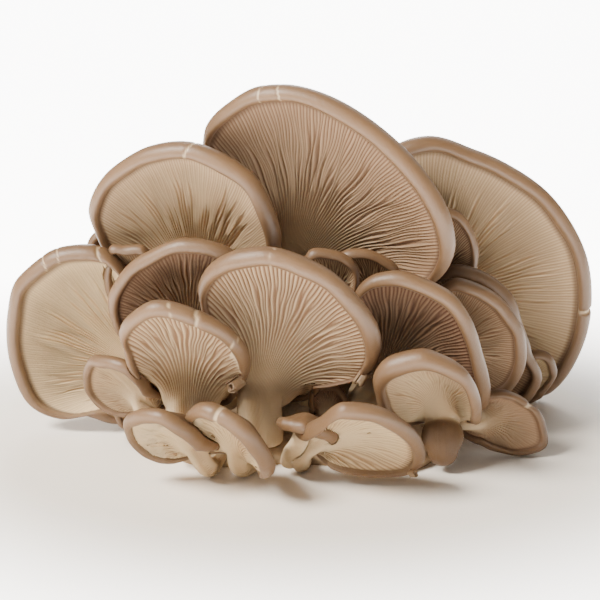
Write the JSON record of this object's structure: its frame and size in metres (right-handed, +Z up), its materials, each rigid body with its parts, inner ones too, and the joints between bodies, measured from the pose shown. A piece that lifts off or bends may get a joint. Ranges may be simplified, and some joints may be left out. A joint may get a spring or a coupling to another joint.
{
  "type": "mushroom cluster",
  "caption": "Oyster mushroom cluster: fan-shaped caps with rolled rims and running gills on short stems, growing from one shared butt with a flat cut face.",
  "frame": {"origin": "point on the flat cut face of the butt, below the middle of the stems", "axes": "+Z up from the cut face, +X to the viewer's right when looking at the gill sides of the caps, +Y towards the cap tops at the back"},
  "size_m": [0.2301, 0.1483, 0.1373],
  "materials": {
    "mushroom_flesh": "soft matt taupe cap skin, cream gills and stems",
    "butt_flesh": "matt cream fibrous flesh"
  },
  "bodies": {
    "root": {"cap_torn_front": "mushroom_flesh", "cap_folded_front": "mushroom_flesh", "cap_button_front": "mushroom_flesh", "cap_fan_front": "mushroom_flesh", "cap_low_right": "mushroom_flesh", "cap_left_front": "mushroom_flesh", "cap_centre": "mushroom_flesh", "cap_left_low": "mushroom_flesh", "cap_dark_bud": "mushroom_flesh", "cap_right_low": "mushroom_flesh", "cap_left_mid": "mushroom_flesh", "cap_left_sliver": "mushroom_flesh", "cap_mid_bud": "mushroom_flesh", "cap_right_mid": "mushroom_flesh", "cap_mid_sliver": "mushroom_flesh", "cap_right": "mushroom_flesh", "cap_far_left": "mushroom_flesh", "cap_upper_left": "mushroom_flesh", "cap_top": "mushroom_flesh", "cap_crescent": "mushroom_flesh", "cap_right_behind": "mushroom_flesh", "cap_foot_lobe": "mushroom_flesh", "cap_pale_bud": "mushroom_flesh", "cap_top_behind": "mushroom_flesh", "cap_far_right": "mushroom_flesh", "cap_back_left": "mushroom_flesh", "butt": "butt_flesh"}
  },
  "joints": []
}
